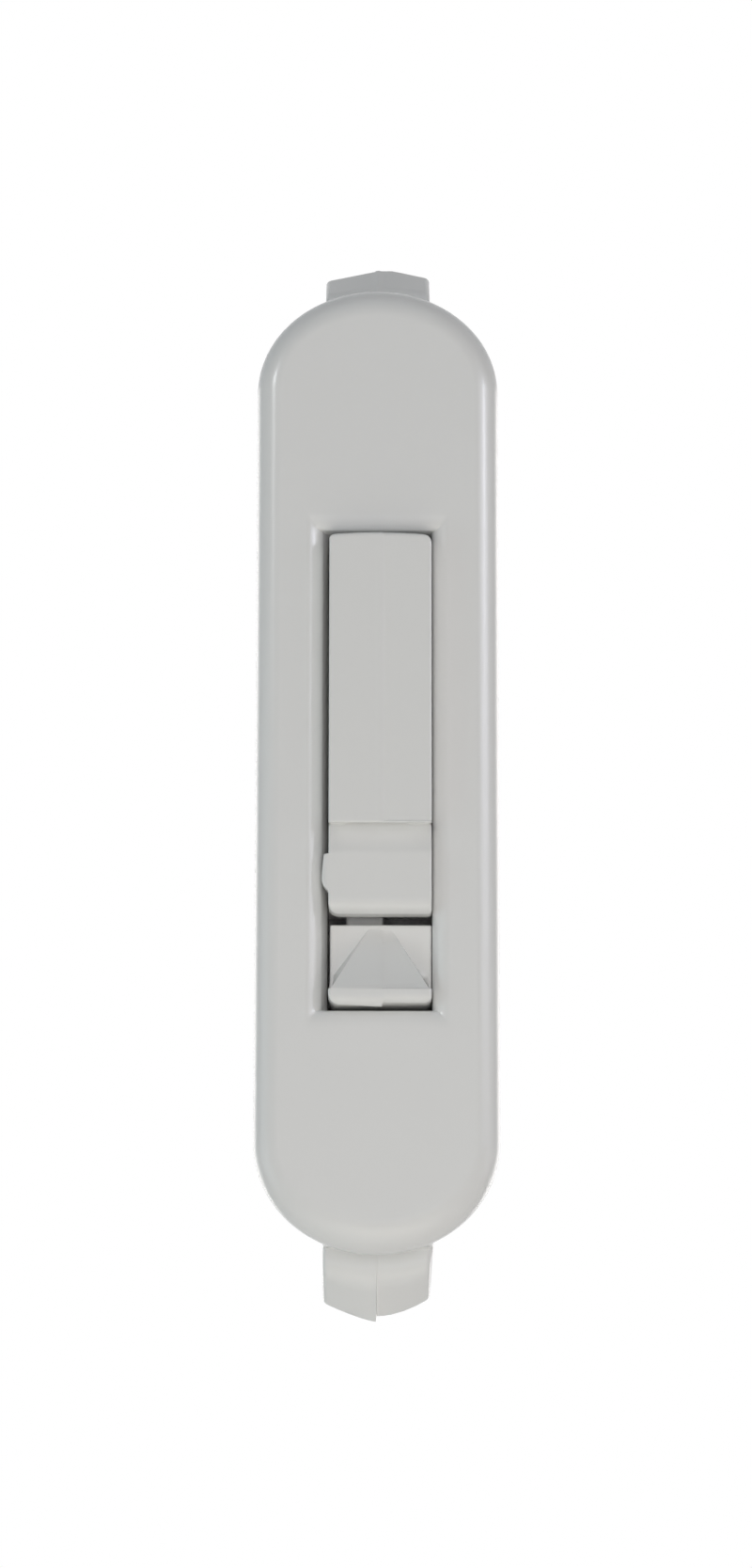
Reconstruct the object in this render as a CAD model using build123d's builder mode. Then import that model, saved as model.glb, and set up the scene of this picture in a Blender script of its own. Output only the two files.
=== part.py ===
from build123d import *
from math import cos, radians, sin
import os

os.makedirs("parts", exist_ok=True)

# Window vent lock, in millimetres, drawn as it sits on the stile of a sash: X across, Z up and the
# front towards -Y. The origin is the centre of the bezel's underside, the plane Y = 0 that seats on
# the sash, so a height in front of the sash is -Y and a depth behind it is +Y.

# Bezel
bezel_width = 15.9
bezel_length = 64.0
bezel_height = 2.4
end_depth = 7.15        # how far each elliptical end runs along Z
edge_round = 1.6        # rounding of the outer front edge
seat_land = 1.5         # width of the rim that lies on the sash
relief_depth = 0.8      # hollow behind the bezel's front wall
rib_width = 1.2
rib_pitch = 4.6         # from the pocket's end wall to the first stiffening rib, and on to the next

# Pocket that holds the latch and the button
pocket_width = 7.3
pocket_length = 32.0
pocket_middle = -0.45   # its centre, just below the bezel's
pocket_depth = 6.9      # from the seat plane to the pocket's floor
rim_round = 1.2         # rolled edge round the window
wall = 1.25
floor = 1.2
box_corner = 0.8

# End snap tabs
tab_width = 7.0
tab_reach = 3.7         # how far the upper tab stands out past the bezel's end
lower_tab_drop = 0.35   # the lower tab and its leg lie this much farther out
tab_crown = 0.8         # height of the curved end over its two corners
tab_corner = 0.55
tab_seat = 3.2          # depth of the shoulder that grips the sash wall
tab_seat_width = 1.85
tab_edge = 6.2          # depth of the tab's outermost edge
leg_length = 9.3
leg_thickness = 1.3
leg_inset = 0.75        # from the bezel's end to the leg's outer face

# Latch and pivot
side_clear = 0.31       # mean gap between a pocket wall and the latch or the button
lean = 0.2              # the latch and the button lie this far to the right in their side play
panel_rise = 1.4        # nose's front panel, proud of the bezel's face
hub_rise = 0.65         # hub's front, proud of the bezel's face
nose_gap = 0.84
nose_depth = 2.2        # underside of the nose at the hub, behind the seat plane
nose_tip_depth = 1.4    # underside of the nose at its tip
groove_width = 1.76
groove_depth = 0.35     # below the hub's front
hub_length = 3.99
hub_lip = 2.05          # thickness of the hub's lower lip
lip_overhang = 0.4
lip_round = 0.9
crest_round = 0.3
nose_corner = 0.3
pivot_depth = 1.6       # pivot axis behind the seat plane
pivot_drop = 2.0        # pivot axis above the hub's lower face
cam_flat = 2.0          # from the pivot axis to each of the hub's two flats
pin_diameter = 2.0
pin_chamfer = 0.2
running_gap = 0.05
swing = 40.0            # degrees that the latch turns from shut to fully out
web = 2.4               # thickness of the nose between its two side recesses
recess_front_wall = 3.2
recess_back_wall = 0.7
recess_end_wall = 1.8
recess_corner = 0.5
tail_width = 2.4
tail_shift = -1.0       # the tail lies left of the latch's middle
tail_front = 1.0        # depth of the tail's front face
tail_thickness = 1.6
tail_past_toe = 1.2
nub_length = 2.4        # trimmed moulding gate on the hub's left side
nub_width_low = 0.9
nub_gap = 0.1
nub_thickness = 0.8

# Push button
button_length = 5.5
button_gap = 0.22       # between the button and the pocket's lower end
slot_gap = 0.53         # between the button and the hub
press = 2.5             # travel of the button while the latch turns through its swing
flank_height = 1.1      # height of the low flanks in front of the seat plane
plate_thickness = 1.2
ramp_start = 0.3        # from the button's upper end to the foot of the ramp
ramp_width = 1.3        # width of the ramp at its foot
bar_rise = 0.65         # bar's front, proud of the bezel's face
bar_length = 1.1
bar_round = 0.55
bar_corner = 0.6
button_wall = 1.0
skirt_depth = 4.3       # depth of the button's walls behind the seat plane
rib_radius = 0.5        # of the rib that presses on the tail, and of the bridge under the tail
rib_gap = 0.2           # between the rib and the tail
bridge_arm = 2.85       # bridge's distance below the pivot
bridge_drop = 2.15      # bridge's depth behind the pivot

# Detent spring
spring_width = 4.5
spring_thickness = 0.3
spring_gap = 0.05
spring_past_pivot = 1.1
spring_curl = 0.8       # radius of the turned-down tip
anchor_height = 11.7    # stake above the pivot
anchor_size = 5.0
stake_diameter = 1.6
stake_head_diameter = 2.8
stake_head_height = 0.6
stake_gap = 0.1

# Places that follow from the sizes
front = -bezel_height
panel_front = front - panel_rise
hub_front = front - hub_rise
bar_front = front - bar_rise
pocket_top = pocket_middle + pocket_length / 2
pocket_bottom = pocket_middle - pocket_length / 2
button_low = pocket_bottom + button_gap
button_high = button_low + button_length
hub_low = button_high + slot_gap
hub_high = hub_low + hub_length
panel_low = hub_high + groove_width
nose_tip = pocket_top - nose_gap
pivot_z = hub_low + pivot_drop
latch_width = pocket_width - 2 * side_clear
box_width = pocket_width + 2 * wall
box_length = pocket_length + 2 * wall
cam_radius = cam_flat / cos(radians(swing / 2))
spring_front = pivot_depth + cam_flat + spring_gap
spring_back = spring_front + spring_thickness
anchor_z = pivot_z + anchor_height

# The rib's distance from the pivot makes the button's travel and the latch's swing agree at both ends.
tail_offset = pivot_depth - tail_front
rib_rise = tail_offset + rib_radius + rib_gap
turn = radians(swing)
rib_arm = (press * cos(turn) + rib_rise * (1 - cos(turn))) / sin(turn)
tail_end = pivot_z - rib_arm - tail_past_toe


def stadium(width, length, depth):
    """Outline with straight sides and an elliptical end of the given depth at the top and bottom."""
    side = length / 2 - depth
    with BuildLine() as outline:
        Line((width / 2, -side), (width / 2, side))
        EllipticalCenterArc((0, side), width / 2, depth, 0, arc_size=180)
        Line((-width / 2, side), (-width / 2, -side))
        EllipticalCenterArc((0, -side), width / 2, depth, 180, arc_size=180)
    return outline.edges()


# Snap tab at the upper end: a springy leg with an outward hook, curved across its end
leg_outer = bezel_length / 2 - leg_inset
tab_end = bezel_length / 2 + tab_reach
with BuildPart() as snap_tab:
    with BuildSketch(Plane.YZ):
        with BuildLine():
            Polyline(
                (-relief_depth, leg_outer - leg_thickness),
                (-relief_depth, leg_outer),
                (tab_seat, leg_outer),
                (tab_seat, leg_outer + tab_seat_width),
                (tab_edge, tab_end),
                (leg_length, leg_outer),
                (leg_length, leg_outer - leg_thickness),
                close=True,
            )
        make_face()
    extrude(amount=tab_width / 2, both=True)
    fillet(snap_tab.edges().filter_by(Axis.X).sort_by(Axis.Z)[-1], radius=leg_thickness / 3)
    with BuildSketch(Plane.XZ.offset(relief_depth)):
        with BuildLine():
            ThreePointArc(
                (-tab_width / 2, tab_end - tab_crown), (0, tab_end), (tab_width / 2, tab_end - tab_crown)
            )
            Polyline(
                (tab_width / 2, tab_end - tab_crown),
                (tab_width / 2, 0),
                (-tab_width / 2, 0),
                (-tab_width / 2, tab_end - tab_crown),
            )
        plan = make_face()
        fillet(plan.vertices().group_by(Axis.Z)[-1], radius=tab_corner)
    extrude(amount=-(relief_depth + leg_length), mode=Mode.INTERSECT)

# Housing: bezel, pocket box, spring anchor and both snap tabs in one moulding
with BuildPart() as housing:
    with BuildSketch(Plane.XZ):
        make_face(stadium(bezel_width, bezel_length, end_depth))
    extrude(amount=bezel_height)
    fillet(housing.edges().group_by(Axis.Y)[0], radius=edge_round)

    # Hollow back, with a seat rim all round and two stiffening ribs at each end of the pocket
    with BuildSketch(Plane.XZ):
        make_face(stadium(bezel_width - 2 * seat_land, bezel_length - 2 * seat_land, end_depth - seat_land))
        for side in (1, -1):
            for row in (1, 2):
                with Locations((0, pocket_middle + side * (box_length / 2 + row * rib_pitch))):
                    Rectangle(bezel_width, rib_width, mode=Mode.SUBTRACT)
    extrude(amount=relief_depth, mode=Mode.SUBTRACT)

    with BuildSketch(Plane.XZ.offset(relief_depth)):
        with Locations((0, pocket_middle)):
            RectangleRounded(box_width, box_length, box_corner)
    extrude(amount=-(relief_depth + pocket_depth + floor))

    with BuildSketch(Plane.XZ.offset(bezel_height)):
        with Locations((0, pocket_middle)):
            Rectangle(pocket_width, pocket_length)
    extrude(amount=-(bezel_height + pocket_depth), mode=Mode.SUBTRACT)
    window = housing.faces().sort_by(Axis.Y)[0].inner_wires()[0]
    fillet(window.edges(), radius=rim_round)

    # Anchor block and stake for the detent spring
    with BuildSketch(Plane.XZ.offset(-pocket_depth)):
        with Locations((lean, anchor_z)):
            Rectangle(anchor_size, anchor_size)
    extrude(amount=pocket_depth - spring_back)
    with BuildSketch(Plane.XZ.offset(-spring_back)):
        with Locations((lean, anchor_z)):
            Circle(stake_diameter / 2)
    extrude(amount=spring_thickness)
    with BuildSketch(Plane.XZ.offset(-spring_front)):
        with Locations((lean, anchor_z)):
            Circle(stake_head_diameter / 2)
    extrude(amount=stake_head_height)
    fillet(housing.faces(Select.LAST).sort_by(Axis.Y)[0].edges(), radius=stake_head_height / 3)

    # Bores for the pivot pin
    with BuildSketch(Plane.YZ):
        with Locations((pivot_depth, pivot_z)):
            Circle(pin_diameter / 2)
    extrude(amount=box_width, both=True, mode=Mode.SUBTRACT)

    add(snap_tab.part)
    with Locations((0, 0, -lower_tab_drop)):
        add(mirror(snap_tab.part, about=Plane.XY, mode=Mode.PRIVATE))
housing.part.label = "housing"
export_step(housing.part, "parts/housing.step")

# Latch: nose, cross groove, hub with its lip and two cam flats, and the tail that drives the button
with BuildPart() as latch:
    with BuildSketch(Plane.YZ.offset(lean)):
        with BuildLine():
            Polyline(
                (panel_front, nose_tip),
                (panel_front, panel_low),
                (hub_front + groove_depth, panel_low),
                (hub_front + groove_depth, hub_high),
                (hub_front, hub_high),
                (hub_front, hub_low),
                (hub_front + hub_lip, hub_low),
                (hub_front + hub_lip, hub_low + lip_overhang),
                (pivot_depth, hub_low + lip_overhang),
                (nose_depth, pivot_z),
                (nose_depth, panel_low),
                (nose_tip_depth, nose_tip),
                close=True,
            )
        make_face()
        with Locations((pivot_depth, pivot_z)):
            Circle(cam_radius)
        for angle in (0, -swing):
            with Locations(Location((pivot_depth, pivot_z), angle)):
                with Locations((cam_flat + cam_radius / 2, 0)):
                    Rectangle(cam_radius, 2 * cam_radius * sin(turn), mode=Mode.SUBTRACT)
    extrude(amount=latch_width / 2, both=True)

    with BuildSketch(Plane.YZ.offset(lean + tail_shift)):
        with Locations((tail_front + tail_thickness / 2, (pivot_z + tail_end) / 2)):
            Rectangle(tail_thickness, pivot_z - tail_end)
    extrude(amount=tail_width / 2, both=True)

    # Side recesses that leave a web down the middle of the nose
    for side in (1, -1):
        with BuildSketch(Plane.YZ.offset(lean + side * web / 2)):
            with BuildLine():
                Polyline(
                    (panel_front + recess_front_wall, panel_low),
                    (nose_depth - recess_back_wall, panel_low),
                    (nose_tip_depth - recess_back_wall, nose_tip - recess_end_wall),
                    (panel_front + recess_front_wall, nose_tip - recess_end_wall),
                    close=True,
                )
            recess = make_face()
            fillet(recess.vertices(), radius=recess_corner)
        extrude(amount=side * latch_width, mode=Mode.SUBTRACT)

    with BuildSketch(Plane.YZ):
        with Locations((pivot_depth, pivot_z)):
            Circle(pin_diameter / 2 + running_gap)
    extrude(amount=pocket_width, both=True, mode=Mode.SUBTRACT)

    panel_edges, hub_edges = latch.edges().filter_by(Axis.X).group_by(Axis.Y)[:2]
    fillet(hub_edges.sort_by(Axis.Z)[0], radius=lip_round)
    panel_edges, hub_edges = latch.edges().filter_by(Axis.X).group_by(Axis.Y)[:2]
    fillet(panel_edges + [hub_edges.sort_by(Axis.Z)[-1]], radius=crest_round)
    fillet(latch.edges().filter_by(Axis.Y).group_by(Axis.Z)[-1], radius=nose_corner)

    # Trimmed moulding gate on the left of the hub
    gate = lean - latch_width / 2
    gate_reach = gate + pocket_width / 2 - nub_gap
    with BuildSketch(Plane.XZ.offset(-hub_front - crest_round)):
        with BuildLine():
            Polyline(
                (gate, hub_high - crest_round),
                (gate - gate_reach, hub_high - crest_round - nub_width_low / 2),
                (gate - gate_reach, hub_high - crest_round - nub_width_low / 2 - nub_width_low),
                (gate, hub_high - crest_round - nub_length),
                close=True,
            )
        make_face()
    extrude(amount=-nub_thickness)
latch.part.label = "latch"
export_step(latch.part, "parts/latch.step")

# Push button: plate, ramp and bar in front, walls behind, a rib that presses on the latch's tail and
# a bridge that runs under it
with BuildPart() as push_button:
    bar_high = button_low + bar_length
    with BuildSketch(Plane.YZ.offset(lean)):
        with BuildLine():
            Polyline(
                (-flank_height, button_high),
                (-flank_height, button_high - ramp_start),
                (bar_front, bar_high),
                (bar_front, button_low),
                (skirt_depth, button_low),
                (skirt_depth, button_high),
                close=True,
            )
        make_face()
    extrude(amount=latch_width / 2, both=True)
    fillet(push_button.edges().filter_by(Axis.X).group_by(Axis.Y)[0].sort_by(Axis.Z)[0], radius=bar_round)

    # Low flanks either side of the ramp
    for side in (1, -1):
        with BuildSketch(Plane.XZ.offset(flank_height)):
            with BuildLine():
                Polyline(
                    (lean + side * ramp_width / 2, button_high - ramp_start),
                    (lean + side * latch_width / 2, bar_high),
                    (lean + side * latch_width, bar_high),
                    (lean + side * latch_width, button_high - ramp_start),
                    close=True,
                )
            make_face()
        extrude(amount=bezel_height, mode=Mode.SUBTRACT)

    # Hollow behind the plate, open towards the hub
    with BuildSketch(Plane.XZ.offset(-skirt_depth)):
        with Locations((lean, button_low + button_wall)):
            Rectangle(latch_width - 2 * button_wall, button_length, align=(Align.CENTER, Align.MIN))
    extrude(amount=skirt_depth + flank_height - plate_thickness, mode=Mode.SUBTRACT)

    with BuildSketch(Plane.YZ.offset(lean)):
        with Locations((pivot_depth - rib_rise, pivot_z - rib_arm)):
            Circle(rib_radius)
        with Locations((pivot_depth + bridge_drop, pivot_z - bridge_arm)):
            Circle(rib_radius)
    extrude(amount=latch_width / 2 - button_wall / 2, both=True)
    corners = push_button.edges().filter_by(Axis.Y).group_by(Axis.Z)[0]
    fillet(corners, radius=bar_corner)
push_button.part.label = "push_button"
export_step(push_button.part, "parts/push_button.step")

# Pivot pin, flush with the outside of the pocket's walls
with BuildPart() as pivot_pin:
    with BuildSketch(Plane.YZ):
        with Locations((pivot_depth, pivot_z)):
            Circle(pin_diameter / 2)
    extrude(amount=box_width / 2, both=True)
    chamfer(pivot_pin.edges().filter_by(GeomType.CIRCLE), length=pin_chamfer)
pivot_pin.part.label = "pivot_pin"
export_step(pivot_pin.part, "parts/pivot_pin.step")

# Detent spring: a leaf staked at its upper end, flat under the hub, with its tip turned away
with BuildPart() as detent_spring:
    spring_middle = spring_front + spring_thickness / 2
    tip_z = pivot_z - spring_past_pivot
    with BuildSketch(Plane.YZ.offset(lean)):
        with BuildLine() as leaf:
            Line((spring_middle, anchor_z + anchor_size / 2), (spring_middle, tip_z + spring_curl))
            JernArc(leaf.line @ 1, leaf.line % 1, spring_curl, 60)
        trace(line_width=spring_thickness)
    extrude(amount=spring_width / 2, both=True)
    with BuildSketch(Plane.XZ.offset(-spring_front)):
        with Locations((lean, anchor_z)):
            Circle(stake_diameter / 2 + stake_gap)
    extrude(amount=-spring_thickness, mode=Mode.SUBTRACT)
detent_spring.part.label = "detent_spring"
export_step(detent_spring.part, "parts/detent_spring.step")
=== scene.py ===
import bmesh
import bpy
import numpy as np
from bpy.props import FloatProperty, FloatVectorProperty, PointerProperty
from bpy.types import Operator, Panel, PropertyGroup
from mathutils import Matrix, Vector


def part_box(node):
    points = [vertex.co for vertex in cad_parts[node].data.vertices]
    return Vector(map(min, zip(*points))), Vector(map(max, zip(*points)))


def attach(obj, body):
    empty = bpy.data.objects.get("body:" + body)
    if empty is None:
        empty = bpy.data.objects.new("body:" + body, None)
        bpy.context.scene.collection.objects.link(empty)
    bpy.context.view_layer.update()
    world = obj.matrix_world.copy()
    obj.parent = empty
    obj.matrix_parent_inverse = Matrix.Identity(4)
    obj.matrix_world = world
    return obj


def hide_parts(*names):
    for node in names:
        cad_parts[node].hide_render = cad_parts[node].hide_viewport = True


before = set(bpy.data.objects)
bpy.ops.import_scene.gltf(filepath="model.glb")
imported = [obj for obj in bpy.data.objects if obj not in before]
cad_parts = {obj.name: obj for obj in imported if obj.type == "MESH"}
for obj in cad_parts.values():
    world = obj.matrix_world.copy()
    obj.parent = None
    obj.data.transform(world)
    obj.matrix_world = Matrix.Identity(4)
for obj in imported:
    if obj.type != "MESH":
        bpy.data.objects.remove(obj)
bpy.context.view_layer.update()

bl_info = {
    "name": "Window Vent Lock",
    "version": (1, 0, 0),
    "blender": (4, 5, 0),
    "location": "3D View > Sidebar > Vent Lock",
    "description": "Builds the mouldings, finishes and stage of a snap-in window vent lock",
    "category": "Add Mesh",
}

# The lock stands as on a sash stile: X across, Z up and the front towards -Y, in metres. The plane
# Y = 0 is the one that seats on the sash.
MM = 0.001

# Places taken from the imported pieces
HOUSING_LOW, HOUSING_HIGH = np.array(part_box("housing"))
LATCH_LOW, LATCH_HIGH = np.array(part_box("latch"))
BUTTON_LOW, BUTTON_HIGH = np.array(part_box("push_button"))
PIN_LOW, PIN_HIGH = np.array(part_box("pivot_pin"))
SPRING_LOW, SPRING_HIGH = np.array(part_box("detent_spring"))
FRONT = HOUSING_LOW[1]
LEAN = (BUTTON_LOW[0] + BUTTON_HIGH[0]) / 2
HALF_WIDTH = (BUTTON_HIGH[0] - BUTTON_LOW[0]) / 2
PIVOT_Y, PIVOT_Z = (PIN_LOW[1:] + PIN_HIGH[1:]) / 2
SWING = np.radians(40.0)
SPRING_FACE = SPRING_LOW[1]
PIN_SHOWS = 0.02 * MM

# Mesh resolution
SIDE_POINTS = 12
ARC_POINTS = 26
CORNER_POINTS = 7
END_POINTS = 30
ROUND_STEPS = 9
EDGE_STEPS = 15
STEP = 0.002 * MM
MERGE_DISTANCE = 0.0005 * MM
SHARP_ANGLE = np.radians(38.0)

# Small forms of the housing: powers of the lower tab's fall and flare, and roundings of a rib's corners
LEFT_FALL_POWER = 1.35
RIGHT_FALL_POWER = 1.9
FLARE_SIDE_POWER = 4
FLARE_ROOT_POWER = 1.5
RIB_ROUNDS = np.array([0.05, 0.2, 0.2, 0.05]) * MM

# Anchor of the detent spring: its block on the pocket's floor and the stake through the spring
ANCHOR_SIZE = 5.0 * MM
ANCHOR_CORNER = 0.3 * MM
ANCHOR_SINK = 0.1 * MM
SPRING_THICKNESS = 0.3 * MM
STAKE_RADIUS = 1.4 * MM
STAKE_STEM = 0.57
STAKE_HEIGHT = 0.6 * MM
STAKE_POWER = 0.5

# Small forms of the latch
LATCH_DRAFT = 0.06 * MM
EDGE_SHARE = 0.45
CROWN_RUN = 2.0 * MM
TROUGH_START = 0.2 * MM
TROUGH_BACK = 0.3 * MM
TROUGH_RUN = np.array([-0.8, 0.0, 3.0]) * MM
TROUGH_SLOPE = 0.7 * MM
TROUGH_EASE = 0.6
TAIL_ROUND = 0.2 * MM

# Small forms of the button, and the places of its rib and bridge from the pivot
BUTTON_DRAFT = 0.08 * MM
BAR_EDGE = 0.1 * MM
FLANK_CREASE = 0.08 * MM
INSET_RUN = 0.6 * MM
RIGHT_LIP = -0.4
RIB_AHEAD = 1.3 * MM
RIB_BELOW = 3.45 * MM
BRIDGE_BEHIND = 2.15 * MM
BRIDGE_BELOW = 2.85 * MM

# Finishes: waves per metre of each noise, the part of a noise that is spread out, and heights of the bumps
CLOUD_WAVES = 110.0
GLOSS_WAVES = 420.0
PEEL_WAVES = 1400.0
GRAIN_WAVES = 7000.0
LINE_WAVES = 9000.0
FLOOR_WAVES = 6.0
NOISE_RANGE = (0.3, 0.7)
PEEL_HEIGHT = 0.16 * MM
GRAIN_HEIGHT = 0.01 * MM

# Floor: half width in metres, points along a side, rise and share of its colour that it shows by itself
FLOOR_REACH = 1.5
FLOOR_POINTS = 25
FLOOR_RISE = 0.004
FLOOR_GLOW = 0.7

# Camera: its place, the point it looks at and its roll
CAMERA_PLACE = Vector((0.0, -294.657, -56.369)) * MM
CAMERA_AIM = Vector((-0.074, 0.0, -1.24)) * MM
CAMERA_ROLL = np.radians(0.084)

# Lamps: name, degrees to the right and up, distance, width, watts and tint, then for some the height of
# a strip that shows in the gloss alone, or None and False for a fill that stays out of the gloss
LAMPS = (
    ("low_steep", 5, -64, 0.38, 0.36, 0.155, (0.995, 1.0, 0.89)),
    ("low_front", 5, -42, 0.4, 0.24, 0.155, (1.0, 0.898, 0.726)),
    ("front_fill", 3, -4, 0.7, 0.3, 1.12, (1.0, 0.985, 0.99), None, False),
    ("front_high", 0, 24, 0.7, 0.3, 0.48, (1.0, 0.95, 0.93), None, False),
    ("top", 0, 62, 0.5, 0.3, 0.09, (0.7, 0.92, 1.0)),
    ("left_wall", -72, -8, 0.5, 0.36, 0.41, (0.8, 0.955, 1.0)),
    ("right_wall", 75, 0, 0.5, 0.36, 0.34, (0.97, 0.973, 1.0)),
    ("right_lamp", 51, 14.4, 0.45, 0.32, 0.45, (0.85, 0.87, 1.0), 0.115),
    ("right_spot", 52, 18, 0.45, 0.07, 0.16, (0.88, 0.9, 1.0), 0.032),
    ("left_lamp", -41, 23, 0.5, 0.08, 0.32, (0.95, 0.97, 1.0), 0.035),
    ("back_left", -140, 0, 0.6, 0.4, 1.1, (1.0, 0.97, 0.95)),
    ("back_right", 140, 0, 0.6, 0.4, 1.1, (1.0, 0.97, 0.95)),
)


def length(name, description, millimetres):
    """Length property with its default in millimetres, stored in metres."""
    return FloatProperty(
        name=name, description=description, default=millimetres * MM, precision=5,
        unit="LENGTH", subtype="DISTANCE",
    )


def colour(name, description, default):
    """Linear colour property."""
    return FloatVectorProperty(
        name=name, description=description, default=default, size=3, min=0.0, max=1.0, subtype="COLOR"
    )


def amount(name, description, default):
    """Plain number property."""
    return FloatProperty(name=name, description=description, default=default, min=0.0)


class BezelSizes(PropertyGroup):
    """Sizes of the bezel, its window and the box behind it."""

    length: length("Length", "Bezel from end to end", 64.0)
    end_depth: length("End depth", "How far each elliptical end runs along the bezel", 7.15)
    side_round: length("Side rounding", "Rounding of the front edge along the straight sides", 1.65)
    end_round: length("End rounding", "Rounding of the front edge at the two ends", 2.15)
    base_round: length("Base rounding", "Small rounding of the edge that lies on the sash", 0.12)
    seat_land: length("Seat land", "Width of the rim that lies on the sash", 1.5)
    relief_depth: length("Relief depth", "Hollow behind the bezel's front wall", 0.8)
    rib_width: length("Rib width", "Thickness of each stiffening rib on the back", 1.2)
    rib_pitch: length("Rib pitch", "From the box's end to the first rib, and on to the next", 4.6)
    pocket_width: length("Pocket width", "Width on which the box round the pocket is built", 7.3)
    pocket_inner: length("Inner width", "Pocket from wall to wall below its ledge", 6.82)
    pocket_shift: length("Inner shift", "How far the inner pocket lies right of the middle", 0.19)
    ledge_height: length("Ledge height", "Height of the ledge in front of the seat plane", 0.62)
    end_ledge: length("End ledge", "Width of the ledge at the pocket's two ends", 0.18)
    window_width: length("Window width", "Pocket from wall to wall just inside its rolled edge", 7.1)
    window_shift: length("Window shift", "How far the window lies right of the middle", 0.03)
    window_length: length("Window length", "Pocket from end to end", 32.0)
    window_middle: length("Window middle", "Height of the pocket's centre above the bezel's", -0.45)
    window_round: length("Window rounding", "Rolled edge round the window", 1.2)
    end_roll: length("End roll", "Depth of the rolled edge at the window's ends", 0.5)
    upper_inset: length("Upper inset", "How far the window's upper edge stands in", 0.25)
    pocket_depth: length("Pocket depth", "From the seat plane to the pocket's floor", 6.9)
    wall: length("Wall", "Thickness of the pocket's walls", 1.25)
    floor: length("Floor", "Thickness of the pocket's floor", 1.2)
    box_corner: length("Box corner", "Rounding of the box's upright corners", 0.8)


class TabSizes(PropertyGroup):
    """Sizes of the two snap tabs."""

    width: length("Width", "Tab from side to side", 7.0)
    seat: length("Seat depth", "Depth of the shoulder that grips the sash wall", 3.2)
    seat_width: length("Seat width", "How far the shoulder stands out from the leg", 1.85)
    edge: length("Edge depth", "Depth of the tab's outermost edge", 6.2)
    leg_thickness: length("Leg thickness", "Thickness of the springy leg", 1.3)
    leg_inset: length("Leg inset", "From the bezel's end to the leg's outer face", 0.75)
    root_depth: length("Root depth", "How far each leg runs into the bezel's front wall", 0.4)
    side_round: length("Side rounding", "Rounding of the tab's side edges", 0.32)
    tip_round: length("Tip rounding", "Rounding of the tab's outermost edge", 0.433)
    tip_cut: length("Tip cut", "How much that rounding takes off the tab's reach", 0.2096)
    seat_round: length("Seat rounding", "Rounding between the shoulder and the slope", 2.4)
    root_flare: length("Root flare", "Extra width at the lower tab's root, on its right", 0.2)
    peak: length("Peak", "Half width of the flat at the upper tab's peak", 0.5)
    peak_shift: length("Peak shift", "How far that flat lies right of the middle", 0.54)
    upper_fall_left: length("Upper fall, left", "Fall from the peak to the left corner", 0.75)
    upper_fall_right: length("Upper fall, right", "Fall from the peak to the right corner", 0.55)
    lower_fall_left: length("Lower fall, left", "Rise from the lower tab's tip to its left corner", 1.25)
    lower_fall_right: length("Lower fall, right", "Rise from the lower tab's tip to its right corner", 1.2)
    mismatch: length("Mismatch", "Step between the lower tab's two halves at its end", 0.33)
    half_step: length("Half step", "Height of the upper tab's ridge and of the lower one's step", 0.04)
    ridge_half: length("Ridge half width", "Half width of the upper tab's ridge", 0.15)
    corner: length("Corner", "Rounding of the leg's corners at its root and its end", 0.36)
    crease: length("Crease", "Rounding between the leg and the shoulder", 0.15)


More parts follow.
